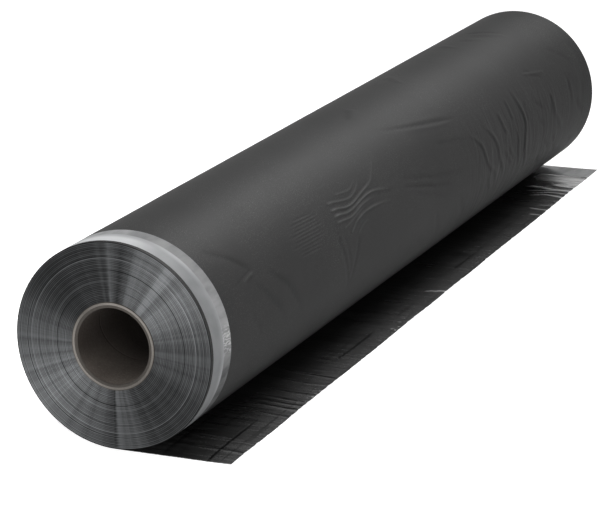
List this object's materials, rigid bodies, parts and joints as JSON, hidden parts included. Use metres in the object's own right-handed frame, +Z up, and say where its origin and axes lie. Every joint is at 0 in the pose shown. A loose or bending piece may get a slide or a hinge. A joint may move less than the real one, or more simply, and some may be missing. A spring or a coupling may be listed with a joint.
{
  "type": "roll of vapour barrier film",
  "caption": "Dark plastic sheet wound on a cardboard core, lying down, with its loose end pulled out flat and a self-adhesive strip along each edge of the sheet.",
  "frame": {"origin": "centre of the core's bore, half way along the roll", "axes": "+Y along the roll's axis, from the end with the outer strip to the end with the inner strip; +X to the side where the loose end lies; +Z up from the floor"},
  "size_m": [0.226, 1.2008, 0.208],
  "materials": {
    "core_board": "matte, spiral wound",
    "film": "satin outside, glossy inside",
    "adhesive_strip": "translucent release film over adhesive"
  },
  "bodies": {
    "root": {"core_tube": "core_board", "film_roll": "film", "adhesive_strip_outer": "adhesive_strip", "adhesive_strip_inner": "adhesive_strip"}
  },
  "joints": []
}
